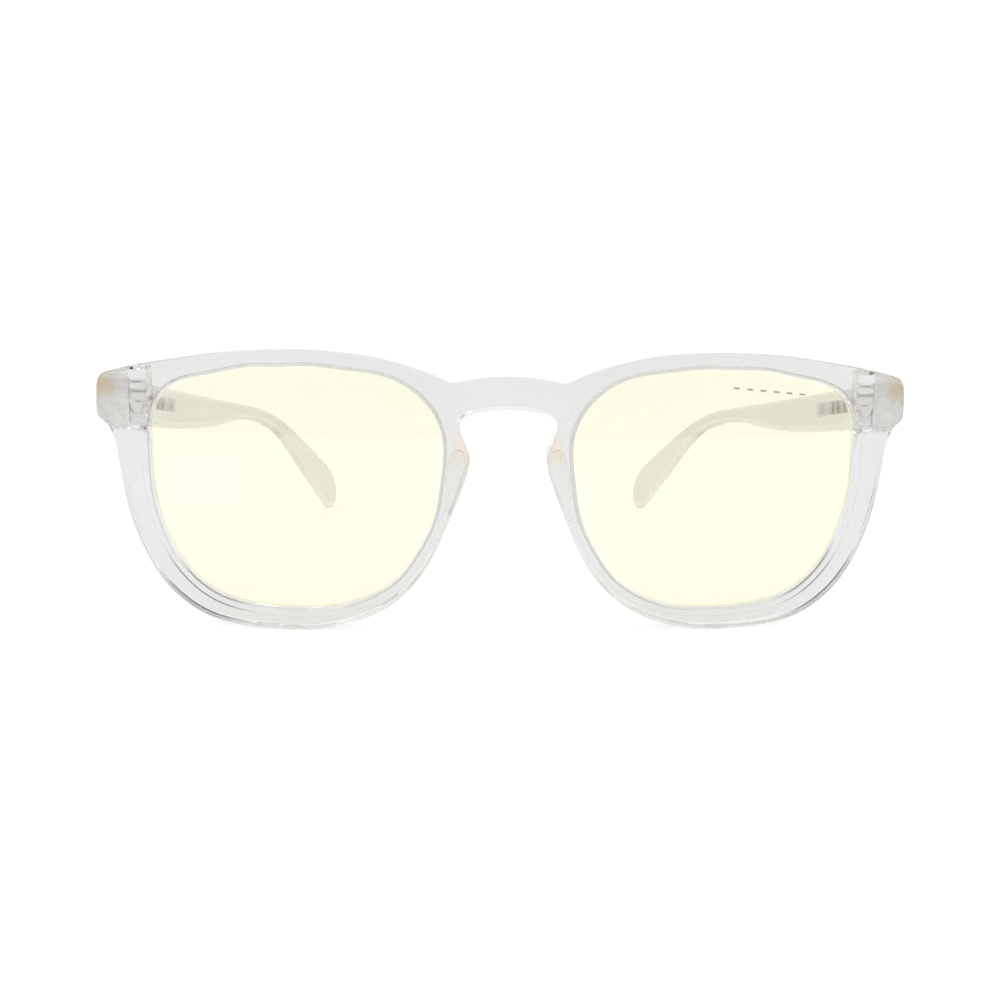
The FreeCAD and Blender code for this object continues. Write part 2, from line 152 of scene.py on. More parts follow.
def even(P, step, closed=True, n=None):
    Q = np.vstack([P, P[:1]]) if closed else P
    t = np.r_[0, np.cumsum(np.hypot(*np.diff(Q, axis=0).T))]
    if n is None:
        n = int(round(t[-1] / step))
    s = np.linspace(0, t[-1], n, endpoint=False) if closed else np.linspace(0, t[-1], n + 1)
    return np.stack([np.interp(s, t, Q[:, 0]), np.interp(s, t, Q[:, 1])], 1)


def soften(P, sigma_pts):
    """Rounds the corners of a closed, evenly spaced loop a little."""
    k = int(3 * sigma_pts) + 1
    w = np.exp(-0.5 * (np.arange(-k, k + 1) / sigma_pts) ** 2); w /= w.sum()
    return sum(np.roll(P, -j, axis=0) * wj for j, wj in zip(range(-k, k + 1), w))


def area2(P):
    return float(np.sum(P[:, 0] * np.roll(P[:, 1], -1) - np.roll(P[:, 0], -1) * P[:, 1]))


def normals(P, toward_air_out=True):
    """Unit normals of a closed loop that points away from its inside."""
    T = np.roll(P, -1, axis=0) - np.roll(P, 1, axis=0)
    T /= np.hypot(*T.T)[:, None]
    N = np.stack([T[:, 1], -T[:, 0]], 1)
    return N if area2(P) > 0 else -N


def unit(p, q):
    d = np.array(q, float) - np.array(p, float)
    return d / np.hypot(*d)


def front_outline(step=0.4):
    top_dir, low_dir = unit(RIM_TOP[-1], END_TOP[-1]), unit((69.35, 33.9), (68.55, 31.2))
    nose_dir, side_dir = unit((7.6, 26.3), (7.15, 27.6)), unit(END_SIDE[0], END_SIDE[1])
    dn = (-0.08, -1)
    half = [spline(BRIDGE_TOP, t0=(1, 0), t1=unit((5.0, 44.30), (9.84, 43.40)))[:-1],
            spline(RIM_TOP, t0=unit((9.84, 43.40), (12.2, 44.55)), t1=top_dir)[:-1],
            spline(END_TOP)[:-1],
            spline(END_CORNER, t0=top_dir, t1=side_dir)[:-1],
            spline(END_SIDE, t0=side_dir, t1=dn)[:-1],
            spline(END_LOW, t0=dn, t1=low_dir)[:-1],
            spline(RIM_LOW, t0=low_dir, t1=nose_dir)[:-1],
            spline(NOSE, t0=nose_dir, t1=(-1, 0))]
    half = np.vstack(half)
    other = half[::-1][1:-1] * (-1, 1)
    P = np.vstack([half, other])
    P = even(P, step)
    P = soften(P, 0.9)
    return P[::-1] if area2(P) < 0 else P


def aperture(offset=0.0, side=1, n=380):
    a = np.radians(np.arange(48) * AP_STEP)
    r = np.array(AP_R)
    P = np.stack([AP_CX + r * np.cos(a), AP_CZ + r * np.sin(a)], 1)
    P = even(spline(P, closed=True), 0, n=n)
    P = soften(P, 2.5)
    N = normals(P)
    P = P + N * offset
    if side < 0:
        P = (P * (-1, 1))[::-1]
    return P


def smax(a, b, k):
    return 0.5 * (a + b + np.sqrt((a - b) ** 2 + k * k))


def smin(a, b, k):
    return 0.5 * (a + b - np.sqrt((a - b) ** 2 + k * k))


def cyl(x, r):
    return WRAP_R - np.sqrt(np.maximum(r * r - x * x, 1.0))


def y_front(x, z):
    ax = np.abs(x)
    ys = float(cyl(np.array(FACET_X), WRAP_R))
    # slope of the curved face where the facet starts
    arc = cyl(np.minimum(ax, FACET_X + 3), WRAP_R)
    facet = ys + (ax - FACET_X) * 0.62
    crease = 0.09 * np.exp(-((ax - FACET_X + 0.05) / 0.13) ** 2) * np.clip((z - 34.0) / 3.0, 0, 1)
    return smax(arc, facet, 0.16) + crease


def y_rear(x, z):
    ax = np.abs(x)
    base = cyl(ax, WRAP_R - RIM_T)
    fx = np.interp(ax, [60.0, 62.1, 63.1, 66.30, 66.48, 80.0], [6.0, 11.2, BLOCK_Y, BLOCK_Y, MITRE_Y, MITRE_Y])
    ft = np.interp(z, [0, 43.2, 44.9, 47.5, 60], [MITRE_Y + 0.0, MITRE_Y, 12.6, 7.0, 7.0])
    fb = np.interp(z, [0, 30.5, 32.4, 33.9, 34.8, 35.2, 35.36, 60], [6.0, 7.0, 8.2, 9.9, 12.0, 13.6, MITRE_Y, MITRE_Y])
    blk = smin(smin(fx, ft, 0.05), fb, 0.05)
    return smax(base, np.minimum(blk, MITRE_Y), 0.10)


def inside(P, x, z):
    """Even-odd test of many points against a closed loop."""
    x0, z0 = P[:, 0], P[:, 1]
    x1, z1 = np.roll(x0, -1), np.roll(z0, -1)
    c = np.zeros(len(x), bool)
    for a, b, d, e in zip(x0, z0, x1, z1):
        if b == e:
            continue
        m = ((b > z) != (e > z)) & (x < (d - a) * (z - b) / (e - b) + a)
        c ^= m
    return c


def sheet2d(outer, holes, pts):
    """Triangles of the region inside outer and outside holes, through extra points. The loops come first and keep their order."""
    loops = [outer] + holes
    verts = [Vector(p) for L in loops for p in L]
    edges, k = [], 0
    for L in loops:
        n = len(L)
        edges += [(k + i, k + (i + 1) % n) for i in range(n)]
        k += n
    nl = k
    if len(pts):
        x, z = pts[:, 0], pts[:, 1]
        ok = inside(outer, x, z)
        for h in holes:
            ok &= ~inside(h, x, z)
        pts = pts[ok]
        B = np.vstack(loops)
        d = np.min(np.hypot(pts[:, None, 0] - B[None, :, 0], pts[:, None, 1] - B[None, :, 1]), axis=1) if len(pts) else []
        pts = pts[d > 0.28]
        verts += [Vector(p) for p in pts]
    vo, eo, fo, vmap, _, _ = delaunay_2d_cdt(verts, edges, [], 0, 1e-7)
    # the routine may reorder, so map each output vertex to its first input
    back = [m[0] if m else None for m in vmap]
    V2 = np.array([(v.x, v.y) for v in vo])
    F = np.array([f for f in fo if len(f) == 3])
    c = V2[F].mean(axis=1)
    ok = inside(outer, c[:, 0], c[:, 1])
    for h in holes:
        ok &= ~inside(h, c[:, 0], c[:, 1])
    F = F[ok]
    if any(b is None for b in back):
        raise RuntimeError("loops cross")
    order = np.array(back)
    allv = np.array([(v.x, v.y) for v in verts])
    F = order[F]
    a = allv[F]
    ar = (a[:, 1, 0] - a[:, 0, 0]) * (a[:, 2, 1] - a[:, 0, 1]) - (a[:, 2, 0] - a[:, 0, 0]) * (a[:, 1, 1] - a[:, 0, 1])
    F[ar < 0] = F[ar < 0][:, ::-1]
    return allv, F, nl


def grid(x0, x1, z0, z1, s, jitter=0.0):
    """Staggered grid of points."""
    out = []
    j = 0
    z = z0
    while z <= z1:
        xs = np.arange(x0 + (s / 2 if j % 2 else 0), x1, s)
        out.append(np.stack([xs, np.full(len(xs), z)], 1))
        z += s * 0.866
        j += 1
    return np.vstack(out)


def slab(outer, holes, pts, fa, fb, rings_outer, rings_holes, place):
    """A closed body: face A = place(u, v, fa(u, v)), face B the same with fb, joined round every loop by rings.
    rings are callables k -> (inset loop 2D, depth values) from face A to face B, without the two face loops.
    outer and holes are the loops the faces end on."""
    V2, F, nl = sheet2d(outer, holes, pts)
    n2 = len(V2)
    verts = [place(V2[:, 0], V2[:, 1], fa(V2[:, 0], V2[:, 1])), place(V2[:, 0], V2[:, 1], fb(V2[:, 0], V2[:, 1]))]
    faces = [tuple(int(i) for i in f) for f in F] + [tuple(int(i) + n2 for i in f[::-1]) for f in F]
    base = 2 * n2
    start = 0
    for L, rings in zip([outer] + holes, [rings_outer] + rings_holes):
        n = len(L)
        prev = [start + i for i in range(n)]
        for (P, d) in rings:
            verts.append(place(P[:, 0], P[:, 1], d))
            cur = [base + i for i in range(n)]
            faces += quads(prev, cur)
            prev = cur
            base += n
        faces += quads(prev, [start + n2 + i for i in range(n)])
        start += n
    return np.vstack(verts), faces


def quads(a, b):
    n = len(a)
    return [(a[i], b[i], b[(i + 1) % n], a[(i + 1) % n]) for i in range(n)]


def make(name, V, F, body, mat, replaces=(), sharp=38.0, mirror=False):
    me = bpy.data.meshes.new(name)
    V = np.array(V, float)
    if mirror:
        V = V * (-1, 1, 1)
        F = [f[::-1] for f in F]
    V = (V + (0, Y0, 0)) * 0.001
    me.from_pydata([tuple(v) for v in V], [], [tuple(f) for f in F])
    me.validate()
    bm = bmesh.new(); bm.from_mesh(me)
    bmesh.ops.remove_doubles(bm, verts=bm.verts, dist=1e-7)
    bmesh.ops.recalc_face_normals(bm, faces=bm.faces)
    for f in bm.faces:
        f.smooth = True
    lim = math.radians(sharp)
    for e in bm.edges:
        if len(e.link_faces) == 2 and e.link_faces[0].normal.angle(e.link_faces[1].normal, 0) > lim:
            e.smooth = False
    bm.to_mesh(me); bm.free()
    ob = bpy.data.objects.new(name, me)
    scene.collection.objects.link(ob)
    me.materials.append(mat)
    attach(ob, body)
    if replaces:
        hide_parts(*replaces)
    return ob


# --------------------------------------------------------------- materials
def nodes_of(name):
    m = bpy.data.materials.new(name)
    m.use_nodes = True
    nt = m.node_tree
    b = next(n for n in nt.nodes if n.type == "BSDF_PRINCIPLED")
    return m, nt, b


def noise(nt, scale, detail=3.0, rough=0.5, dist=0.0):
    tc = nt.nodes.new("ShaderNodeTexCoord")
    n = nt.nodes.new("ShaderNodeTexNoise")
    n.inputs["Scale"].default_value = scale
    n.inputs["Detail"].default_value = detail
    n.inputs["Roughness"].default_value = rough
    n.inputs["Distortion"].default_value = dist
    nt.links.new(tc.outputs["Object"], n.inputs["Vector"])
    return n


def ramp(nt, src, stops):
    r = nt.nodes.new("ShaderNodeValToRGB")
    el = r.color_ramp.elements
    el[0].position, el[0].color = stops[0][0], (*stops[0][1], 1)
    el[1].position, el[1].color = stops[-1][0], (*stops[-1][1], 1)
    for p, c in stops[1:-1]:
        e = el.new(p); e.color = (*c, 1)
    nt.links.new(src, r.inputs["Fac"])
    return r


def clear_plastic(name, tint, tint2, ior=1.49, rough=(0.0, 0.02), wave=0.0006, warm=None, corner=None, nose=None):
    m, nt, b = nodes_of(name)
    b.inputs["Transmission Weight"].default_value = 1.0
    b.inputs["IOR"].default_value = ior
    n = noise(nt, 55.0, 2.0)
    c = ramp(nt, n.outputs["Fac"], [(0.35, tint), (0.65, tint2)])
    col = c.outputs["Color"]
    if warm:
        # a warmer cast above the height warm[0], in metres
        tc = nt.nodes.new("ShaderNodeTexCoord"); sp = nt.nodes.new("ShaderNodeSeparateXYZ")
        nt.links.new(tc.outputs["Object"], sp.inputs["Vector"])
        mw = nt.nodes.new("ShaderNodeMapRange"); mw.interpolation_type = "SMOOTHSTEP"
        mw.inputs["From Min"].default_value = warm[0] - warm[1]; mw.inputs["From Max"].default_value = warm[0] + warm[1]
        nt.links.new(sp.outputs["Z"], mw.inputs["Value"])
        mxc = nt.nodes.new("ShaderNodeMix"); mxc.data_type = "RGBA"
        nt.links.new(mw.outputs["Result"], mxc.inputs["Factor"])
        nt.links.new(col, mxc.inputs[6]); mxc.inputs[7].default_value = (*warm[2], 1)
        col = mxc.outputs[2]
    if corner:
        # painted amber glow in the outer upper corner of both end pieces, standing in for light gathered along the
        # clear temple
        tc = nt.nodes.new("ShaderNodeTexCoord"); sp = nt.nodes.new("ShaderNodeSeparateXYZ")
        nt.links.new(tc.outputs["Object"], sp.inputs["Vector"])
        ab = nt.nodes.new("ShaderNodeMath"); ab.operation = "ABSOLUTE"
        nt.links.new(sp.outputs["X"], ab.inputs[0])
        prev = None
        for sock, lo, hi in ((ab.outputs["Value"], 0.0668, 0.0692), (sp.outputs["Z"], 0.0385, 0.0418)):
            mc_ = nt.nodes.new("ShaderNodeMapRange"); mc_.interpolation_type = "SMOOTHSTEP"
            mc_.inputs["From Min"].default_value = lo; mc_.inputs["From Max"].default_value = hi
            nt.links.new(sock, mc_.inputs["Value"])
            if prev is None:
                prev = mc_.outputs["Result"]
            else:
                mm = nt.nodes.new("ShaderNodeMath"); mm.operation = "MULTIPLY"
                nt.links.new(prev, mm.inputs[0]); nt.links.new(mc_.outputs["Result"], mm.inputs[1])
                prev = mm.outputs["Value"]
        mxc = nt.nodes.new("ShaderNodeMix"); mxc.data_type = "RGBA"
        nt.links.new(prev, mxc.inputs["Factor"])
        nt.links.new(col, mxc.inputs[6]); mxc.inputs[7].default_value = (*corner, 1)
        col = mxc.outputs[2]
    if nose:
        # soft warm spot on each side of the nose, where the pads begin
        tc = nt.nodes.new("ShaderNodeTexCoord"); sp = nt.nodes.new("ShaderNodeSeparateXYZ")
        nt.links.new(tc.outputs["Object"], sp.inputs["Vector"])
        ab = nt.nodes.new("ShaderNodeMath"); ab.operation = "ABSOLUTE"
        nt.links.new(sp.outputs["X"], ab.inputs[0])
        prev = None
        for sock, lo, hi, flip in ((ab.outputs["Value"], 0.0056, 0.0072, False), (ab.outputs["Value"], 0.0086, 0.0102, True),
                                   (sp.outputs["Z"], 0.0292, 0.0310, False), (sp.outputs["Z"], 0.0334, 0.0354, True)):
            mn = nt.nodes.new("ShaderNodeMapRange"); mn.interpolation_type = "SMOOTHSTEP"
            mn.inputs["From Min"].default_value = lo; mn.inputs["From Max"].default_value = hi
            if flip:
                mn.inputs["To Min"].default_value = 1.0; mn.inputs["To Max"].default_value = 0.0
            nt.links.new(sock, mn.inputs["Value"])
            if prev is None:
                prev = mn.outputs["Result"]
            else:
                mm = nt.nodes.new("ShaderNodeMath"); mm.operation = "MULTIPLY"
                nt.links.new(prev, mm.inputs[0]); nt.links.new(mn.outputs["Result"], mm.inputs[1])
                prev = mm.outputs["Value"]
        mxc = nt.nodes.new("ShaderNodeMix"); mxc.data_type = "RGBA"
        nt.links.new(prev, mxc.inputs["Factor"])
        nt.links.new(col, mxc.inputs[6]); mxc.inputs[7].default_value = (*nose, 1)
        col = mxc.outputs[2]
    nt.links.new(col, b.inputs["Base Color"])
    n2 = noise(nt, 900.0, 4.0, 0.6)
    mr = nt.nodes.new("ShaderNodeMapRange")
    mr.inputs["From Min"].default_value = 0.35; mr.inputs["From Max"].default_value = 0.75
    mr.inputs["To Min"].default_value = rough[0]; mr.inputs["To Max"].default_value = rough[1]
    nt.links.new(n2.outputs["Fac"], mr.inputs["Value"])
    nt.links.new(mr.outputs["Result"], b.inputs["Roughness"])
    n3 = noise(nt, 140.0, 1.5, 0.4)
    bp = nt.nodes.new("ShaderNodeBump")
    bp.inputs["Strength"].default_value = 0.12
    bp.inputs["Distance"].default_value = wave
    nt.links.new(n3.outputs["Fac"], bp.inputs["Height"])
    nt.links.new(bp.outputs["Normal"], b.inputs["Normal"])
    return m


def metal(name, col, col2, rough=(0.12, 0.3), scale=1800.0):
    m, nt, b = nodes_of(name)
    b.inputs["Metallic"].default_value = 1.0
    n = noise(nt, scale, 5.0, 0.65)
    c = ramp(nt, n.outputs["Fac"], [(0.3, col2), (0.7, col)])
    nt.links.new(c.outputs["Color"], b.inputs["Base Color"])
    mr = nt.nodes.new("ShaderNodeMapRange")
    mr.inputs["From Min"].default_value = 0.3; mr.inputs["From Max"].default_value = 0.7
    mr.inputs["To Min"].default_value = rough[0]; mr.inputs["To Max"].default_value = rough[1]
    nt.links.new(n.outputs["Fac"], mr.inputs["Value"])
    nt.links.new(mr.outputs["Result"], b.inputs["Roughness"])
    # fine lines left by stamping
    tc = nt.nodes.new("ShaderNodeTexCoord")
    mp = nt.nodes.new("ShaderNodeMapping"); mp.inputs["Scale"].default_value = (300, 300, 9000)
    w = nt.nodes.new("ShaderNodeTexNoise"); w.inputs["Scale"].default_value = 1.0; w.inputs["Detail"].default_value = 3.0
    nt.links.new(tc.outputs["Object"], mp.inputs["Vector"]); nt.links.new(mp.outputs["Vector"], w.inputs["Vector"])
    bp = nt.nodes.new("ShaderNodeBump"); bp.inputs["Strength"].default_value = 0.25; bp.inputs["Distance"].default_value = 0.00002
    nt.links.new(w.outputs["Fac"], bp.inputs["Height"]); nt.links.new(bp.outputs["Normal"], b.inputs["Normal"])
    return m


# the frame's corner colour is a painted amber glow, standing in for light gathered along the clear temple
M_FRAME = clear_plastic("clear_frame_plastic", (0.72, 0.72, 0.715), (0.74, 0.74, 0.735), corner=(0.61, 0.56, 0.47), nose=(0.755, 0.705, 0.63))
M_TEMPLE = clear_plastic("clear_temple_plastic", (0.725, 0.72, 0.738), (0.745, 0.74, 0.758), ior=1.3, rough=(0.16, 0.24))
M_PAD = clear_plastic("clear_pad_plastic", (0.975, 0.97, 0.96), (0.985, 0.98, 0.97), ior=1.06, rough=(0.08, 0.16), warm=(0.0288, 0.0028, (0.975, 0.945, 0.89)))
M_LENS = clear_plastic("yellow_lens_plastic", (0.93, 0.92, 0.742), (0.94, 0.93, 0.757), ior=1.53, rough=(0.0, 0.006), wave=0.0001)
M_HINGE = metal("nickel_silver", (0.88, 0.86, 0.84), (0.76, 0.74, 0.72), rough=(0.10, 0.20))
M_SCREW = metal("polished_steel", (0.88, 0.88, 0.88), (0.72, 0.72, 0.73), rough=(0.12, 0.25))


def cut_face():
    """The sawn end of a temple: matt, with a painted warm glow in the outer upper corner, standing in for light
    collected along its length.
    """
    m, nt, b = nodes_of("sawn_face_painted_glow")
    tc = nt.nodes.new("ShaderNodeTexCoord"); sp = nt.nodes.new("ShaderNodeSeparateXYZ")
    nt.links.new(tc.outputs["Object"], sp.inputs["Vector"])
    ab = nt.nodes.new("ShaderNodeMath"); ab.operation = "ABSOLUTE"
    nt.links.new(sp.outputs["X"], ab.inputs[0])
    fx = nt.nodes.new("ShaderNodeMapRange"); fx.interpolation_type = "SMOOTHSTEP"
    fx.inputs["From Min"].default_value = 0.0678; fx.inputs["From Max"].default_value = 0.0700
    nt.links.new(ab.outputs["Value"], fx.inputs["Value"])
    fz = nt.nodes.new("ShaderNodeMapRange"); fz.interpolation_type = "SMOOTHSTEP"
    fz.inputs["From Min"].default_value = 0.0390; fz.inputs["From Max"].default_value = 0.0425
    nt.links.new(sp.outputs["Z"], fz.inputs["Value"])
    n = noise(nt, 1100.0, 3.0, 0.6, 0.8)
    mu = nt.nodes.new("ShaderNodeMath"); mu.operation = "MULTIPLY"
    nt.links.new(fx.outputs["Result"], mu.inputs[0]); nt.links.new(fz.outputs["Result"], mu.inputs[1])
    m2 = nt.nodes.new("ShaderNodeMath"); m2.operation = "MULTIPLY"
    nn = nt.nodes.new("ShaderNodeMapRange")
    nn.inputs["From Min"].default_value = 0.3; nn.inputs["From Max"].default_value = 0.6; nn.inputs["To Min"].default_value = 0.72
    nt.links.new(n.outputs["Fac"], nn.inputs["Value"])
    nt.links.new(mu.outputs["Value"], m2.inputs[0]); nt.links.new(nn.outputs["Result"], m2.inputs[1])
    pale = ramp(nt, n.outputs["Fac"], [(0.35, (0.70, 0.70, 0.695)), (0.65, (0.83, 0.83, 0.825))])
    # painted warm glow: the amber colour goes into both the base colour and the emission
    mx = nt.nodes.new("ShaderNodeMix"); mx.data_type = "RGBA"
    nt.links.new(m2.outputs["Value"], mx.inputs["Factor"])
    nt.links.new(pale.outputs["Color"], mx.inputs[6]); mx.inputs[7].default_value = (0.76, 0.66, 0.53, 1)
    nt.links.new(mx.outputs[2], b.inputs["Base Color"])
    nt.links.new(mx.outputs[2], b.inputs["Emission Color"])
    b.inputs["Emission Strength"].default_value = 0.12      # light gathered along the clear temple
    b.inputs["Roughness"].default_value = 0.7
    b.inputs["Specular IOR Level"].default_value = 0.2
    bp = nt.nodes.new("ShaderNodeBump"); bp.inputs["Strength"].default_value = 0.3; bp.inputs["Distance"].default_value = 0.00005
    nt.links.new(n.outputs["Fac"], bp.inputs["Height"]); nt.links.new(bp.outputs["Normal"], b.inputs["Normal"])
    return m


M_CUT = cut_face()


def painted_dark_glint_material():
    """Cut edges of the rim: clear, with a painted dark glint (painted shade) gathered in the lower outer bends."""
    m = M_FRAME.copy(); m.name = "rim_cut_edges_painted_dark_glint"
    nt = m.node_tree
    b = next(n for n in nt.nodes if n.type == "BSDF_PRINCIPLED")
    src = b.inputs["Base Color"].links[0].from_socket
    tc = nt.nodes.new("ShaderNodeTexCoord"); sp = nt.nodes.new("ShaderNodeSeparateXYZ")
    nt.links.new(tc.outputs["Object"], sp.inputs["Vector"])
    sh = nt.nodes.new("ShaderNodeMath"); sh.operation = "SUBTRACT"; sh.inputs[1].default_value = 0.0025
    nt.links.new(sp.outputs["X"], sh.inputs[0])
    ab = nt.nodes.new("ShaderNodeMath"); ab.operation = "ABSOLUTE"; nt.links.new(sh.outputs["Value"], ab.inputs[0])
    prev = None
    for sock, lo, hi, flip in ((ab.outputs["Value"], 0.0450, 0.0530, False), (ab.outputs["Value"], 0.0610, 0.0650, True), (sp.outputs["Z"], 0.0090, 0.0150, True)):
        r = nt.nodes.new("ShaderNodeMapRange"); r.interpolation_type = "SMOOTHSTEP"
        r.inputs["From Min"].default_value = lo; r.inputs["From Max"].default_value = hi
        if flip:
            r.inputs["To Min"].default_value = 1.0; r.inputs["To Max"].default_value = 0.0
        nt.links.new(sock, r.inputs["Value"])
        if prev is None:
            prev = r.outputs["Result"]
        else:
            mm = nt.nodes.new("ShaderNodeMath"); mm.operation = "MULTIPLY"
            nt.links.new(prev, mm.inputs[0]); nt.links.new(r.outputs["Result"], mm.inputs[1])
            prev = mm.outputs["Value"]
    # painted dark glint: a near-black colour mixed into the clear rim's colour where the mask is on
    mx = nt.nodes.new("ShaderNodeMix"); mx.data_type = "RGBA"
    nt.links.new(prev, mx.inputs["Factor"]); nt.links.new(src, mx.inputs[6])
    mx.inputs[7].default_value = (0.06, 0.06, 0.075, 1)
    nt.links.new(mx.outputs[2], b.inputs["Base Color"])
    return m


M_PAINTED_DARK_GLINT = painted_dark_glint_material()


def lens_edge():
    """The ground edge of a lens: matt and pale."""
    m, nt, b = nodes_of("ground_lens_edge")
    n = noise(nt, 2500.0, 3.0, 0.6)
    c = ramp(nt, n.outputs["Fac"], [(0.35, (0.80, 0.80, 0.74)), (0.65, (0.90, 0.90, 0.85))])
    nt.links.new(c.outputs["Color"], b.inputs["Base Color"])
    nt.links.new(c.outputs["Color"], b.inputs["Emission Color"])
    b.inputs["Emission Strength"].default_value = 0.30      # light gathered by the clear lens
    b.inputs["Roughness"].default_value = 0.6
    return m


M_EDGE = lens_edge()


def mark_material():
    m, nt, b = nodes_of("lens_mark_ink")
    n = noise(nt, 4000.0, 3.0)
    c = ramp(nt, n.outputs["Fac"], [(0.3, (0.30, 0.30, 0.26)), (0.7, (0.40, 0.40, 0.35))])
    nt.links.new(c.outputs["Color"], b.inputs["Base Color"])
    b.inputs["Roughness"].default_value = 0.45
    return m


# ------------------------------------------------------------------- front
def place_xz(x, z, y):
    return np.stack([x, y, z], 1)


def lens_sphere():
    a = math.asin(AP_CX / WRAP_R)
    p = np.array([AP_CX, float(cyl(np.array(AP_CX), WRAP_R))])
    n = np.array([-math.sin(a), math.cos(a)])
    c = p + n * (LENS_SET + LENS_R)
    return c[0], c[1], AP_CZ


LCX, LCY, LCZ = lens_sphere()


def sphere_y(x, z, r):
    ax = np.abs(x)
    return LCY - np.sqrt(r * r - (ax - LCX) ** 2 - (z - LCZ) ** 2)


def arc_rings(P, N, fa, r, inset, steps, toward):
    """Rounded edge from the face to the wall. P is the true outline, N points into the air.
    toward is +1 when the depth grows away from the face, -1 when it shrinks."""
    out = []
    for k in range(1, steps + 1):
        t = math.pi / 2 * k / steps
        a = r * (1 - math.sin(t))
        Q = P - N * (a if np.isscalar(a) else a[:, None])
        out.append((Q, fa(Q[:, 0], Q[:, 1]) + toward * r * (1 - math.cos(t))))
    return out


def build_front():
    step = 0.42
    RO, RA = 0.62, 1.95
    P = front_outline(step)
    N = normals(P)
    outer = P - N * RO
    holes, rings_h, strips = [], [], []
    K = 6
    for side in (1, -1):
        A = aperture(0.0, side, 380)
        NA = -normals(A)                 # into the opening
        # room between the opening and the outline, so that the flat strip narrows where the rim does
        room = np.min(np.hypot(A[:, None, 0] - P[None, :, 0], A[:, None, 1] - P[None, :, 1]), axis=1)
        qf = np.clip((room - RO - 0.45) / RA, 0.2, 1.0)
        k = np.ones(31) / 31
        qf = np.minimum(qf, np.convolve(np.r_[qf[-15:], qf, qf[:15]], k, "valid"))
        strips.append((A, qf))
        holes.append(A - NA * (RA * qf)[:, None])
        rr = []
        for q in (1.40, 0.80, 0.17, 0.13):
            fa = A - NA * (q * (qf if q > 0.3 else np.ones(len(A))))[:, None]
            rr.append((fa, y_front(fa[:, 0], fa[:, 1])))
        rr += arc_rings(A, NA, y_front, 0.13, RA, K, 1)
        gap = LENS_GAP
        r1 = LENS_R - FLANGE_AT + gap
        r2 = r1 - FLANGE_T - 2 * gap
        g1, g2 = sphere_y(A[:, 0], A[:, 1], r1), sphere_y(A[:, 0], A[:, 1], r2)
        G = A - NA * FLANGE_H
        G1, G2 = sphere_y(G[:, 0], G[:, 1], r1), sphere_y(G[:, 0], G[:, 1], r2)
        # the back of the rim is rebated a little round the opening, more at the sides and bottom than on top
        sd_ = 0.015 + 0.235 * np.clip((41.0 - A[:, 1]) / 8.0, 0, 1)
        rebate = lambda x, z: y_rear(x, z) - sd_
        back = arc_rings(A, NA, rebate, 0.20, RA, K, -1)[::-1]
        for q, e in ((0.20, 1.0), (0.24, 1.0), (0.75, 0.97), (1.25, 0.94), (1.68, 0.92), (1.92, 0.86), (1.93, 0.12)):
            fb = A - NA * (q * (qf if q > 0.3 else np.ones(len(A))))[:, None]
            back.append((fb, y_rear(fb[:, 0], fb[:, 1]) - sd_ * e))
        y0, y1 = rr[-1][1], back[0][1]
        rr.append((A, y0 * 0.5 + g1 * 0.5))
        rr.append((A, g1))
        rr.append((A - NA * FLANGE_H * 0.55, G1 * 0.55 + g1 * 0.45 + 0.02))
        rr.append((G, G1 + 0.14))
        rr.append((G, G2 - 0.14))
        rr.append((A - NA * FLANGE_H * 0.55, G2 * 0.55 + g2 * 0.45 - 0.02))
        rr.append((A, g2))
        rr.append((A, y1 * 0.5 + g2 * 0.5))
        rings_h.append(rr + back)
    # outer wall
    f0, ff = P - N * 0.45, P - N * 0.40
    front_r = [(f0, y_front(f0[:, 0], f0[:, 1])), (ff, y_front(ff[:, 0], ff[:, 1]))] + arc_rings(P, N, y_front, 0.40, RO, 6, 1)
    # a smaller radius at the back where the end pieces meet the temples
    w = np.clip((np.abs(P[:, 0]) - 64.5) / 2.0, 0, 1) * np.clip((P[:, 1] - 34.6) / 0.6, 0, 1)
    low = np.clip((42.0 - P[:, 1]) / 8.0, 0, 1)
    cb = (0.30 + 0.25 * low) * (1 - w) + 0.16 * w
    back_r = []
    for a, h in ((0.0, 1.10), (0.015, 1.03), (0.05, 0.96), (0.35, 0.655), (0.655, 0.35), (0.96, 0.05), (1.03, 0.015), (1.10, 0.0)):
        Q = P - N * (cb * a)[:, None]
        back_r.append((Q, y_rear(Q[:, 0], Q[:, 1]) - cb * h))
    y0, y1 = front_r[-1][1], back_r[0][1]
    mid = [(P, y0 + (y1 - y0) * f) for f in (0.25, 0.5, 0.75)]
    rings_o = front_r + mid + back_r
    s = 0.85
    pts = [grid(-73, 73, -1, 50, s)]
    for sd in (1, -1):
        xs = np.arange(61.4, 72.6, 0.32)
        zs = np.arange(33.6, 46.8, 0.32)
        g = np.stack(np.meshgrid(xs, zs), -1).reshape(-1, 2)
        zl = np.arange(0, 47, 0.4)
        for xx in (FACET_X - 0.55, FACET_X - 0.31, FACET_X - 0.18, FACET_X - 0.05, FACET_X + 0.08, FACET_X + 0.21, FACET_X + 0.5, 66.30, 66.48):
            g = np.vstack([g, np.stack([np.full(len(zl), xx), zl], 1)])
        xl = np.arange(61.4, 72.5, 0.35)
        for zz in (35.02, 35.36, 43.2, 44.9):
            g = np.vstack([g, np.stack([xl, np.full(len(xl), zz)], 1)])
        pts.append(g * (sd, 1))  # fine patch at each end piece
    pts = np.vstack(pts)
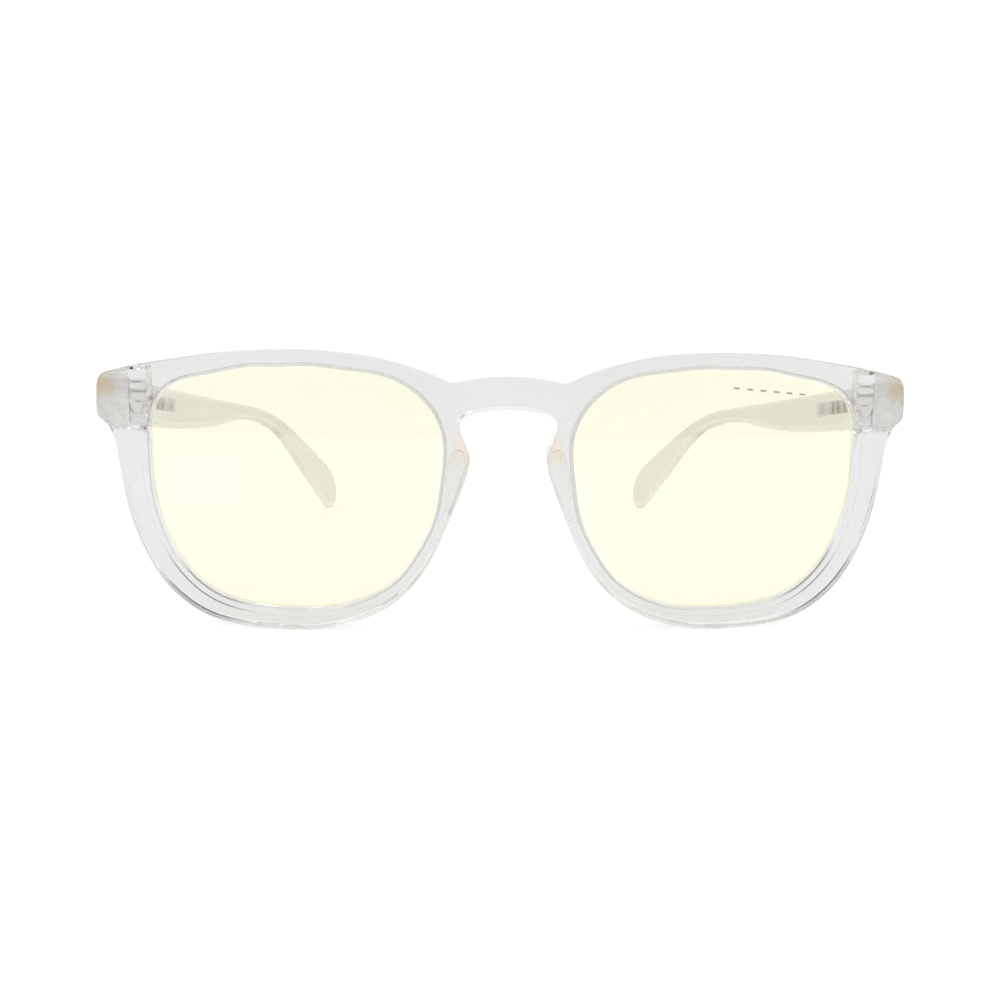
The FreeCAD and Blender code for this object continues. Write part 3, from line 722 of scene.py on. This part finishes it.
    # no coarse grid points inside the fine patches
    base = pts[:len(grid(-73, 73, -1, 50, s))]
    fine = pts[len(base):]
    base = base[~((np.abs(base[:, 0]) > 61.2) & (base[:, 1] > 33.4))]
    V, F = slab(outer, holes, np.vstack([base, fine]), y_front, y_rear, rings_o, rings_h, place_xz)
    V[:, 2] = np.maximum(V[:, 2], 0.0)
    ob = make("frame_front_moulding", V, F, "front", M_FRAME, ("frame_front",), sharp=34)
    ob.data.materials.append(M_CUT)
    ob.data.materials.append(M_PAINTED_DARK_GLINT)
    C = np.array([tuple(p.center) for p in ob.data.polygons]) * 1000.0
    NY = np.array([p.normal.y for p in ob.data.polygons])
    depth = y_rear(C[:, 0], C[:, 2]) - (C[:, 1] - Y0)
    low_part = (C[:, 2] < 20) & (depth < 0.8)
    step_wall = np.zeros(len(C), bool)
    chamfer = np.zeros(len(C), bool)
    for i in np.where(low_part)[0]:
        for A, qf in strips:
            d = np.hypot(A[:, 0] - C[i, 0], A[:, 1] - C[i, 2])
            j = int(np.argmin(d))
            if 1.69 * qf[j] < d[j] < 1.935 * qf[j] and depth[i] > 0.015:
                step_wall[i] = True
        d = np.min(np.hypot(P[:, 0] - C[i, 0], P[:, 1] - C[i, 2]))
        chamfer[i] = d < 0.38 and 0.35 < NY[i] < 0.93
    saw = (NY > 0.985) & (np.abs(C[:, 1] - Y0 - MITRE_Y) < 0.06) & (np.abs(C[:, 0]) > 66.3)
    # index 1: the sawn face with its painted warm glow; index 2: the painted dark glint on low step walls and chamfers
    for p, a_, b_, c_ in zip(ob.data.polygons, saw, step_wall, chamfer):
        p.material_index = 1 if a_ else (2 if (b_ or c_) else 0)
    return ob


def build_lens(side):
    name = "left" if side > 0 else "right"
    A = aperture(-LENS_GAP, side, 300)
    NA = normals(A)                      # out of the lens, into the rim
    f_front = lambda x, z: sphere_y(x, z, LENS_R)
    f_back = lambda x, z: sphere_y(x, z, LENS_R - LENS_T)
    r = 0.12
    outer = A - NA * r
    r1 = LENS_R - FLANGE_AT
    r2 = r1 - FLANGE_T
    g1, g2 = sphere_y(A[:, 0], A[:, 1], r1), sphere_y(A[:, 0], A[:, 1], r2)
    G = A + NA * FLANGE_H * 0.9
    G1, G2 = sphere_y(G[:, 0], G[:, 1], r1), sphere_y(G[:, 0], G[:, 1], r2)
    rings = arc_rings(A, NA, f_front, r, r, 3, 1)
    rings += [(A, g1), (A + NA * FLANGE_H * 0.55, g1 + 0.10), (G, (G1 + G2) / 2 - 0.22), (G, (G1 + G2) / 2 + 0.22),
              (A + NA * FLANGE_H * 0.55, g2 - 0.10), (A, g2)]
    rings += arc_rings(A, NA, f_back, r, r, 3, -1)[::-1]
    pts = grid(-64, 64, 0, 48, 1.5)
    V, F = slab(outer, [], pts, f_front, f_back, rings, [], place_xz)
    ob = make(name + "_lens_polished", V, F, "front", M_LENS, (name + "_lens",), sharp=9)
    ob.data.materials.append(M_EDGE)
    inner = aperture(-LENS_GAP, side, 300)
    inner = (inner - normals(inner) * 0.06) * 0.001
    c = np.array([(p.center.x, p.center.z) for p in ob.data.polygons])
    far = ~inside(inner, c[:, 0], c[:, 1])
    for p, q in zip(ob.data.polygons, far):
        if q and abs(p.normal.y) < 0.97:
            p.material_index = 1
    return ob


def build_pad(side):
    name = "left" if side > 0 else "right"
    P = soften(even(spline(PAD_OUT, closed=True), 0.3), 1.5)
    if area2(P) < 0:
        P = P[::-1]
    N = normals(P)
    c = P.mean(axis=0)
    f0 = lambda x, z: cyl(x, WRAP_R - RIM_T) + 0.015
    # domed back, highest towards the lower middle, falling off towards the nose
    def f1(x, z):
        u = (z - 18.9) / 13.0
        return cyl(x, WRAP_R - RIM_T) + 0.35 + 3.1 * np.sin(np.pi * np.clip(u * 0.92 + 0.04, 0, 1)) ** 0.8 - 0.16 * (x - 8.6 - (29 - z) * 0.33)
    # rings close in on a short line down the middle of the pad
    s0, s1 = np.array([8.35, 30.2]), np.array([11.45, 20.5])
    w = np.clip(((P - s0) @ (s1 - s0)) / ((s1 - s0) @ (s1 - s0)), 0, 1)[:, None]
    SP = s0 + w * (s1 - s0)
    outer = P + (SP - P) * 0.62
    rings = []
    b0 = f0(P[:, 0], P[:, 1])
    Q = P + (SP - P) * 0.08
    rings.append((Q, f0(Q[:, 0], Q[:, 1])))
    rings.append((P, b0 + 0.12))
    top = f1(outer[:, 0], outer[:, 1])
    h = np.maximum(top - b0 - 0.12, 0.3)
    for k in range(1, 10):
        t = math.pi / 2 * k / 10
        Q = P + (SP - P) * (0.62 * (1 - math.cos(t)))
        rings.append((Q, b0 + 0.12 + h * math.sin(t) ** 0.9))
    V, F = slab(outer, [], grid(6, 13, 18, 33, 0.45), f0, f1, rings, [], place_xz)
    return make(name + "_nose_pad_moulding", V, F, "front", M_PAD, (name + "_nose_pad",), sharp=60, mirror=side < 0)


# ------------------------------------------------------------------ temples
def temple_side_outline(step=0.5):
    parts = [spline([TEMPLE_LOW[-1], TEMPLE_TOP[0]])[:-1],
             spline(TEMPLE_TOP, t0=(1, -0.17), t1=(1, -0.76))[:-1],
             spline(TEMPLE_TIP, t0=(1, -0.76), t1=(-1, -0.75))[:-1],
             spline(TEMPLE_FOOT, t0=(-1, -0.75), t1=(-1, 0.75))[:-1],
             spline(TEMPLE_LOW, t0=(-1, 0.75), t1=(-1, 0.17))[:-1]]
    P = even(np.vstack(parts), step)
    P = soften(P, 0.8)
    return P[::-1] if area2(P) < 0 else P


_in = spline([(y, x) for x, y in TEMPLE_IN])
_Ti = np.gradient(_in, axis=0); _Ti /= np.hypot(*_Ti.T)[:, None]
_k = np.array([y for x, y in TEMPLE_IN])
_tt = np.interp(_in[:, 0], _k, TEMPLE_T)
_tt = np.convolve(np.pad(_tt, 40, mode="edge"), np.ones(81) / 81, "valid")
_out = _in + np.stack([-_Ti[:, 1], _Ti[:, 0]], 1) * _tt[:, None]


def x_in(y, z):
    return np.interp(y, _in[:, 0], _in[:, 1])


def x_out(y, z):
    o = _out[np.argsort(_out[:, 0])]
    return np.interp(y, o[:, 0], o[:, 1])


def place_yz(y, z, x):
    return np.stack([x, y, z], 1)


def pocket_box():
    """The moulded pocket that the hinge tongue sits in, as a closed inner wall."""
    d = np.array([-0.0816, 0.988, -TONGUE_DROP * 0.988]); d /= np.linalg.norm(d)
    up = np.array([0, TONGUE_DROP, 1.0]); up -= d * up.dot(d); up /= np.linalg.norm(up)
    out = np.cross(d, up)
    o = np.array([67.35, 15.4, 39.42])
    l0, l1 = 2.2, (POCKET_END - 15.4) / 0.988
    h, t, c = 1.47, 0.76, 0.28
    prof = []
    for sx, sy in ((1, 1), (-1, 1), (-1, -1), (1, -1)):
        for k in range(5):
            a = {(1, 1): 0, (-1, 1): 90, (-1, -1): 180, (1, -1): 270}[(sx, sy)] + 90 * k / 4
            a = math.radians(a)
            prof.append(((h - c) * sx + c * math.cos(a), (t - c) * sy + c * math.sin(a)))
    prof = np.array(prof)
    rows = []
    for l, s in ((l0, 0.80), (l0 + 0.1, 0.94), (l0 + 0.3, 1.0), (l0 + 5, 1.0), (l1 - 5, 1.0), (l1 - 0.3, 1.0), (l1 - 0.1, 0.94), (l1, 0.80)):
        q = prof * s
        rows.append(o + d * l + np.outer(q[:, 0], up) + np.outer(q[:, 1], out))
    V = np.vstack(rows)
    n = len(prof)
    F = []
    for r in range(len(rows) - 1):
        F += quads([r * n + i for i in range(n)], [(r + 1) * n + i for i in range(n)])
    F.append(tuple(range(n)))
    F.append(tuple(range((len(rows) - 1) * n, len(rows) * n))[::-1])
    return V, F


def build_temple(side):
    name = "left" if side > 0 else "right"
    P = temple_side_outline(0.45)
    N = normals(P)
    y, z = P[:, 0], P[:, 1]
    w = np.clip((y - 15.2) / 5.0, 0, 1)
    w = w * w * (3 - 2 * w)
    ra = 0.22 + 1.15 * w            # inset of the rounding in the side view
    half = (x_out(y, z) - x_in(y, z)) / 2
    rb = np.minimum(0.22 + 1.05 * w, half * 0.92)
    outer = P - N * ra[:, None]
    K = 7
    rings = []
    for k in range(1, K + 1):
        t = math.pi / 2 * k / K
        Q = P - N * (ra * (1 - math.sin(t)))[:, None]
        rings.append((Q, x_in(Q[:, 0], Q[:, 1]) + rb * (1 - math.cos(t))))
    x0 = rings[-1][1]
    back = []
    for k in range(1, K + 1):
        t = math.pi / 2 * k / K
        Q = P - N * (ra * (1 - math.sin(t)))[:, None]
        back.append((Q, x_out(Q[:, 0], Q[:, 1]) - rb * (1 - math.cos(t))))
    back = back[::-1]
    x1 = back[0][1]
    rings += [(P, x0 * (1 - f) + x1 * f) for f in (1 / 3, 2 / 3)] + back
    V, F = slab(outer, [], grid(13, 138, -1, 45, 0.9), x_in, x_out, rings, [], place_yz)
    V[:, 2] = np.maximum(V[:, 2], 0.0)
    ob = make(name + "_temple_moulding", V, F, name + "_temple_arm", M_TEMPLE, (name + "_temple",), sharp=40, mirror=side < 0)
    # inner wall of the tongue's pocket, facing the hollow
    V, F = pocket_box()
    if side < 0:
        V = V * (-1, 1, 1)
        F = [f[::-1] for f in F]
    V = (V + (0, Y0, 0)) * 0.001
    me = bpy.data.meshes.new("p")
    me.from_pydata([tuple(v) for v in V], [], F)
    bm = bmesh.new(); bm.from_mesh(me)
    bmesh.ops.recalc_face_normals(bm, faces=bm.faces)
    for f in bm.faces:
        f.smooth = True
    for e in bm.edges:
        if len(e.link_faces) == 2 and e.link_faces[0].normal.angle(e.link_faces[1].normal, 0) > 0.9:
            e.smooth = False
    bmesh.ops.reverse_faces(bm, faces=bm.faces)
    bm.to_mesh(me); bm.free()
    full = bmesh.new(); full.from_mesh(ob.data); full.from_mesh(me)
    full.to_mesh(ob.data); full.free()
    bpy.data.meshes.remove(me)
    # the end that meets the front is sawn and left matt, with the sawn face's painted warm glow
    ob.data.materials.append(M_CUT)
    for p in ob.data.polygons:
        if p.normal.y < -0.985 and abs(p.center.y - (14.55 + Y0) * 0.001) < 0.0002:
            p.material_index = 1
    return ob


# ------------------------------------------------------------ hinge leaves
PIVOT_X, PIVOT_Y, PIVOT_Z = 64.8, 14.5, 39.9
KN_R, KN_H, KN_P = 1.30, 1.06, 1.10


def bevelled(pts2, z0, z1, r, seg=2):
    """A prism with plan outline pts2 (x, y) from z0 to z1, all edges bevelled; returns vertices and faces."""
    bm = bmesh.new()
    lo_ = [bm.verts.new((x, y, z0)) for x, y in pts2]
    hi_ = [bm.verts.new((x, y, z1)) for x, y in pts2]
    n = len(pts2)
    bm.faces.new(lo_[::-1]); bm.faces.new(hi_)
    for i in range(n):
        bm.faces.new((lo_[i], lo_[(i + 1) % n], hi_[(i + 1) % n], hi_[i]))
    bmesh.ops.recalc_face_normals(bm, faces=bm.faces)
    ed = [e for e in bm.edges if e.link_faces[0].normal.angle(e.link_faces[1].normal, 0) > 0.5]
    bmesh.ops.bevel(bm, geom=ed, offset=r, segments=seg, profile=0.5, affect="EDGES", clamp_overlap=True)
    bm.verts.index_update()
    V = [tuple(v.co) for v in bm.verts]
    F = [tuple(v.index for v in f.verts) for f in bm.faces]
    bm.free()
    return V, F


def build_front_leaf(side):
    name = "left" if side > 0 else "right"
    parts = []
    z0 = PIVOT_Z - 2.5 * KN_P
    circ = [(PIVOT_X + KN_R * math.cos(2 * math.pi * k / 40), PIVOT_Y + KN_R * math.sin(2 * math.pi * k / 40)) for k in range(40)]
    rect = lambda x0, y0, x1, y1: [(x0, y0), (x1, y0), (x1, y1), (x0, y1)]
    for i in (0, 2, 4):
        z = z0 + i * KN_P + (KN_P - KN_H) / 2
        parts.append(bevelled(circ, z, z + KN_H, 0.10))
        parts.append(bevelled(rect(PIVOT_X - 0.8, 12.9, PIVOT_X + 0.8, PIVOT_Y), z + 0.01, z + KN_H - 0.01, 0.06))
    # back strip, narrowing below the stem
    strip = [(PIVOT_X - 0.55, z0 + 0.02), (PIVOT_X + 0.55, z0 + 0.02), (PIVOT_X + 1.35, 39.2), (PIVOT_X + 1.35, z0 + 5 * KN_P - 0.02),
             (PIVOT_X - 1.35, z0 + 5 * KN_P - 0.02), (PIVOT_X - 1.35, 39.2)]
    V, F = bevelled(strip, 12.25, 13.08, 0.14)
    parts.append(([(x, z, y) for x, y, z in V], F))
    # stem, waisted between its barbs
    shield = lambda w, zl, zh: [(64.1 - w * 0.45, zl), (64.1 + w * 0.45, zl), (64.1 + w, zl + 0.9), (64.1 + w, zh), (64.1 - w, zh), (64.1 - w, zl + 0.9)]
    for w, zl, zh, ya, yb, r in ((1.20, 39.55, 42.0, 9.9, 12.4, 0.12), (1.60, 39.3, 42.25, 10.1, 10.6, 0.20), (1.60, 39.3, 42.25, 11.2, 11.7, 0.20)):
        V, F = bevelled(shield(w, zl, zh), ya, yb, r)
        parts.append(([(x, z, y) for x, y, z in V], F))
    V, F = [], []
    for v, f in parts:
        F += [tuple(i + len(V) for i in q) for q in f]
        V += v
    return make(name + "_front_leaf_bevelled", np.array(V), F, "front", M_HINGE, (name + "_hinge_front_leaf",), sharp=30, mirror=side < 0)


# --------------------------------------------------------------- lens marks
def build_marks():
    """Six plain rounded dashes, flush on the wearer's left lens."""
    V, F = [], []
    for i in range(6):
        cx, cz = 39.9 + i * 2.45, 42.65 - i * 0.22
        ring = []
        for k in range(24):
            t = 2 * math.pi * k / 24
            u = 0.42 * np.sign(math.cos(t)) + 0.16 * math.cos(t)
            v = 0.16 * math.sin(t)
            ring.append((cx + u, cz + v - u * 0.09))
        R = np.array(ring)
        b = len(V)
        for d in (0.012, -0.02):
            yy = sphere_y(R[:, 0], R[:, 1], LENS_R) + d - 0.012
            V += [(x, y, z) for (x, z), y in zip(R, yy)]
        n = len(R)
        F.append(tuple(range(b + n, b + 2 * n)))
        F.append(tuple(range(b, b + n))[::-1])
        F += quads([b + j for j in range(n)], [b + n + j for j in range(n)])
    return make("lens_marks", np.array(V), F, "front", mark_material(), (), sharp=60)


build_front()
for sd in (1, -1):
    build_lens(sd)
    build_pad(sd)
    build_temple(sd)
    build_front_leaf(sd)
build_marks()

for n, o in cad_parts.items():
    if "hinge" in n and o.type == "MESH":
        m = M_SCREW if "screw" in n else M_HINGE
        if o.data.materials:
            for i in range(len(o.material_slots)):
                o.material_slots[i].material = m
        else:
            o.data.materials.append(m)

# ------------------------------------------------------------ floor, lights
fl = bpy.data.meshes.new("floor")
S = 12.0
fl.from_pydata([(-S, -S, -0.00003), (S, -S, -0.00003), (S, S, -0.00003), (-S, S, -0.00003)], [], [(0, 1, 2, 3)])
floor = bpy.data.objects.new("floor", fl)
scene.collection.objects.link(floor)
fm, nt, b = nodes_of("pale_floor")
b.inputs["Base Color"].default_value = (0.40, 0.40, 0.40, 1)
b.inputs["Roughness"].default_value = 0.9
b.inputs["Specular IOR Level"].default_value = 0.1
b.inputs["Emission Color"].default_value = (1, 1, 1, 1)
b.inputs["Emission Strength"].default_value = 0.585
fl.materials.append(fm)

world = bpy.data.worlds.new("studio")
scene.world = world
world.use_nodes = True
nt = world.node_tree
bg = next(n for n in nt.nodes if n.type == "BACKGROUND")
tc = nt.nodes.new("ShaderNodeTexCoord")
sx = nt.nodes.new("ShaderNodeSeparateXYZ")
nt.links.new(tc.outputs["Generated"], sx.inputs["Vector"])
# bright all round, with a dim low band of the room in front of the glasses
def span(sock, lo, hi, to_lo, to_hi):
    n = nt.nodes.new("ShaderNodeMapRange")
    n.interpolation_type = "SMOOTHSTEP"
    n.inputs["From Min"].default_value = lo; n.inputs["From Max"].default_value = hi
    n.inputs["To Min"].default_value = to_lo; n.inputs["To Max"].default_value = to_hi
    nt.links.new(sock, n.inputs["Value"])
    return n.outputs["Result"]


dy = span(sx.outputs["Y"], -0.75, -0.25, 1.0, 0.0)
dz = span(sx.outputs["Z"], 0.12, 0.36, 1.0, 0.0)
dm = nt.nodes.new("ShaderNodeMath"); dm.operation = "MULTIPLY"
nt.links.new(dy, dm.inputs[0]); nt.links.new(dz, dm.inputs[1])
mx = nt.nodes.new("ShaderNodeMath"); mx.operation = "MULTIPLY_ADD"
nt.links.new(dm.outputs["Value"], mx.inputs[0]); mx.inputs[1].default_value = -0.60; mx.inputs[2].default_value = 1.0
lp = nt.nodes.new("ShaderNodeLightPath")
mc = nt.nodes.new("ShaderNodeMath"); mc.operation = "MAXIMUM"
nt.links.new(mx.outputs["Value"], mc.inputs[0]); nt.links.new(lp.outputs["Is Camera Ray"], mc.inputs[1])
st = nt.nodes.new("ShaderNodeMath"); st.operation = "MULTIPLY"; st.inputs[1].default_value = 1.22
nt.links.new(mc.outputs["Value"], st.inputs[0])
nt.links.new(st.outputs["Value"], bg.inputs["Strength"])
bg.inputs["Color"].default_value = (1, 1, 1, 1)


def area(name, loc, target, size, power):
    l = bpy.data.lights.new(name, "AREA")
    l.shape = "RECTANGLE"; l.size, l.size_y = size; l.energy = power
    o = bpy.data.objects.new(name, l)
    o.location = loc
    d = Vector(target) - Vector(loc)
    o.rotation_euler = d.to_track_quat("-Z", "Y").to_euler()
    scene.collection.objects.link(o)
    return o


area("key_softbox", (-0.35, -0.25, 0.75), (0, -0.03, 0.02), (0.20, 0.15), 0.6)
area("fill_softbox", (0.55, -0.10, 0.45), (0, -0.03, 0.02), (0.12, 0.12), 0.25)

scene.view_settings.view_transform = "Standard"
scene.view_settings.look = "None"
cy = scene.cycles
cy.max_bounces = 32
cy.transmission_bounces = 28
cy.glossy_bounces = 16
cy.diffuse_bounces = 4
cy.transparent_max_bounces = 16
cy.caustics_refractive = True
cy.caustics_reflective = True
cy.blur_glossy = 0.0
cy.sample_clamp_indirect = 4.0
cy.use_denoising = True
cy.seed = 1

bpy.context.view_layer.update()
